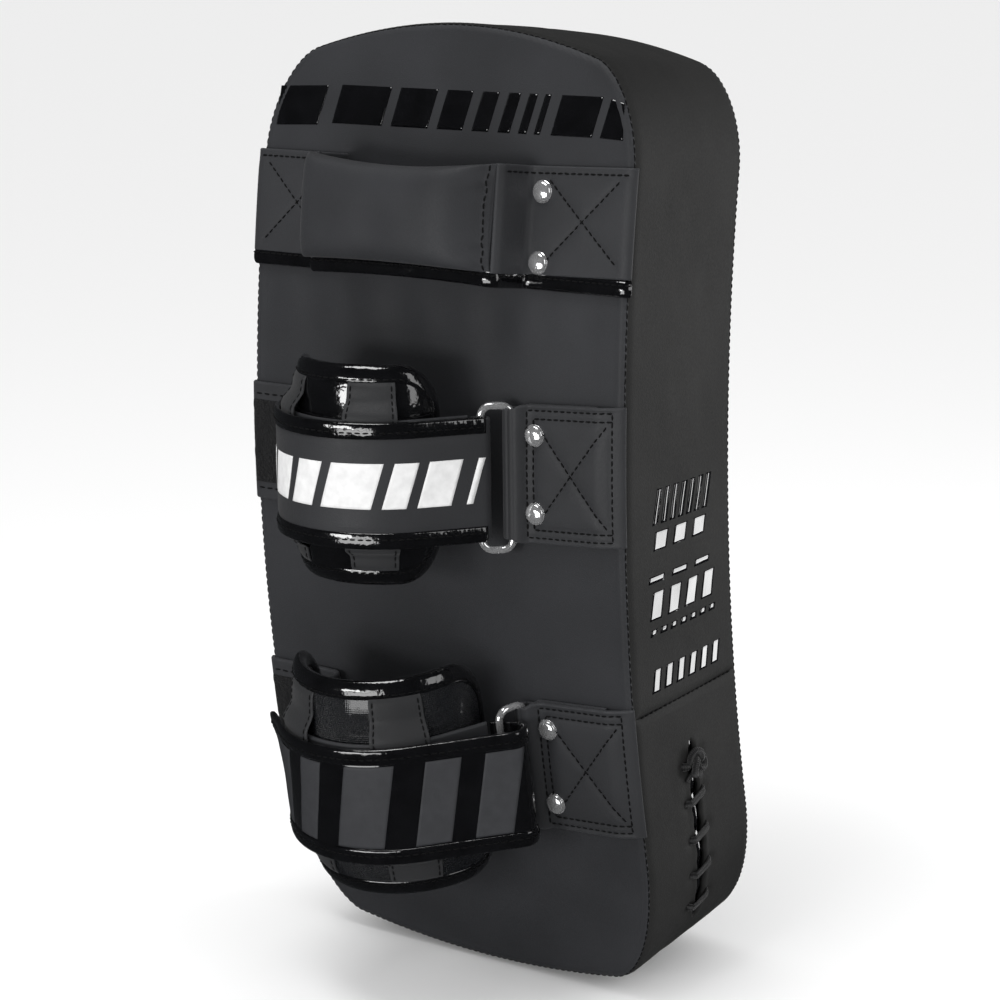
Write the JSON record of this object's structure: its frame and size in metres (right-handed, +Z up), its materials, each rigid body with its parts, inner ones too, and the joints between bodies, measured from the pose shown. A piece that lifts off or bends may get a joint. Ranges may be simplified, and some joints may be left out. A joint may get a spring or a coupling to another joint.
{
  "type": "kick shield",
  "caption": "Curved padded kick shield with a padded hand grip, ring-buckle forearm straps with sliding cuffs, and a laced gusset.",
  "frame": {"origin": "centre of the bounding box in X and Y, at the lowest point of the pad's end seam in Z", "axes": "+Z up along the pad's length, +Y towards the strike face, -Y towards the arm side, +X to the right seen from the arm side"},
  "size_m": [0.2042, 0.1702, 0.4155],
  "materials": {
    "chrome": "polished",
    "face_leather": "matte",
    "foam": "matte",
    "gusset_leather": "matte",
    "hook": "matte",
    "lace_cord": "matte",
    "lining": "matte",
    "loop": "matte",
    "patent": "gloss",
    "patent_cover": "gloss",
    "patent_panel": "gloss",
    "soft_foam": "matte",
    "steel": "satin",
    "strap_leather": "matte",
    "strike_leather": "matte"
  },
  "bodies": {
    "pad": {"foam_arm_side": "foam", "foam_core": "foam", "foam_strike_side": "foam", "grip_binding": "patent", "grip_core": "soft_foam", "grip_cover": "strap_leather", "grip_posts_left": "steel", "grip_posts_right": "steel", "grip_rivets_left": "chrome", "grip_rivets_right": "chrome", "grip_tab_left": "strap_leather", "grip_tab_right": "strap_leather", "gusset_lower": "gusset_leather", "gusset_upper": "gusset_leather", "handle_face_panel": "face_leather", "lace": "lace_cord", "lacing_tongue": "patent", "lower_anchor_tab": "strap_leather", "lower_inner_strap": "strap_leather", "lower_loop_tape": "loop", "lower_rivet_caps": "chrome", "lower_rivet_posts": "steel", "strike_face_panel": "strike_leather", "upper_anchor_tab": "strap_leather", "upper_inner_strap": "strap_leather", "upper_loop_tape": "loop", "upper_rivet_caps": "chrome", "upper_rivet_posts": "steel"},
    "upper_ring": {"upper_ring": "chrome", "upper_strap_fold": "strap_leather"},
    "upper_flap": {"upper_flap": "strap_leather", "upper_flap_binding": "patent", "upper_hook_tape": "hook"},
    "upper_cuff": {"upper_cuff_cover": "patent_cover", "upper_cuff_foam": "soft_foam", "upper_cuff_lining": "lining", "upper_cuff_binding": "patent", "upper_keeper_right": "strap_leather", "upper_keeper_left": "strap_leather"},
    "lower_ring": {"lower_ring": "chrome", "lower_strap_fold": "patent_panel"},
    "lower_flap": {"lower_flap": "patent_panel", "lower_flap_binding": "patent", "lower_hook_tape": "hook"},
    "lower_cuff": {"lower_cuff_cover": "patent_cover", "lower_cuff_foam": "soft_foam", "lower_cuff_lining": "lining", "lower_cuff_binding": "patent", "lower_keeper_right": "strap_leather", "lower_keeper_left": "strap_leather"}
  },
  "joints": [
    {"name": "upper_ring_swing", "type": "hinge", "parent": "pad", "child": "upper_ring", "pos_m": [0.0464, -0.02356, 0.23267], "axis": [0, 0.03, 0.9995], "range_deg": [0, 9]},
    {"name": "upper_flap_peel", "type": "hinge", "parent": "upper_ring", "child": "upper_flap", "pos_m": [0.03742, -0.03729, 0.23309], "axis": [0, 0.03, 0.9995], "range_deg": [0, 110]},
    {"name": "upper_cuff_slide", "type": "hinge", "parent": "pad", "child": "upper_cuff", "pos_m": [-0.015, -0.03015, 0.23287], "axis": [0, 0.03, 0.9995], "range_deg": [-6, 6]},
    {"name": "lower_ring_swing", "type": "hinge", "parent": "pad", "child": "lower_ring", "pos_m": [0.0464, -0.01751, 0.10466], "axis": [0, -0.1241, 0.9923], "range_deg": [0, 9]},
    {"name": "lower_flap_peel", "type": "hinge", "parent": "lower_ring", "child": "lower_flap", "pos_m": [0.05229, -0.04052, 0.10179], "axis": [0, -0.1241, 0.9923], "range_deg": [0, 110]},
    {"name": "lower_cuff_slide", "type": "hinge", "parent": "pad", "child": "lower_cuff", "pos_m": [-0.013, -0.03001, 0.1031], "axis": [0, -0.1241, 0.9923], "range_deg": [-6, 6]}
  ],
  "couplings": [
    {"joint": "upper_ring_swing", "follows": "upper_flap_peel", "ratio": 0.08},
    {"joint": "lower_ring_swing", "follows": "lower_flap_peel", "ratio": 0.08}
  ]
}
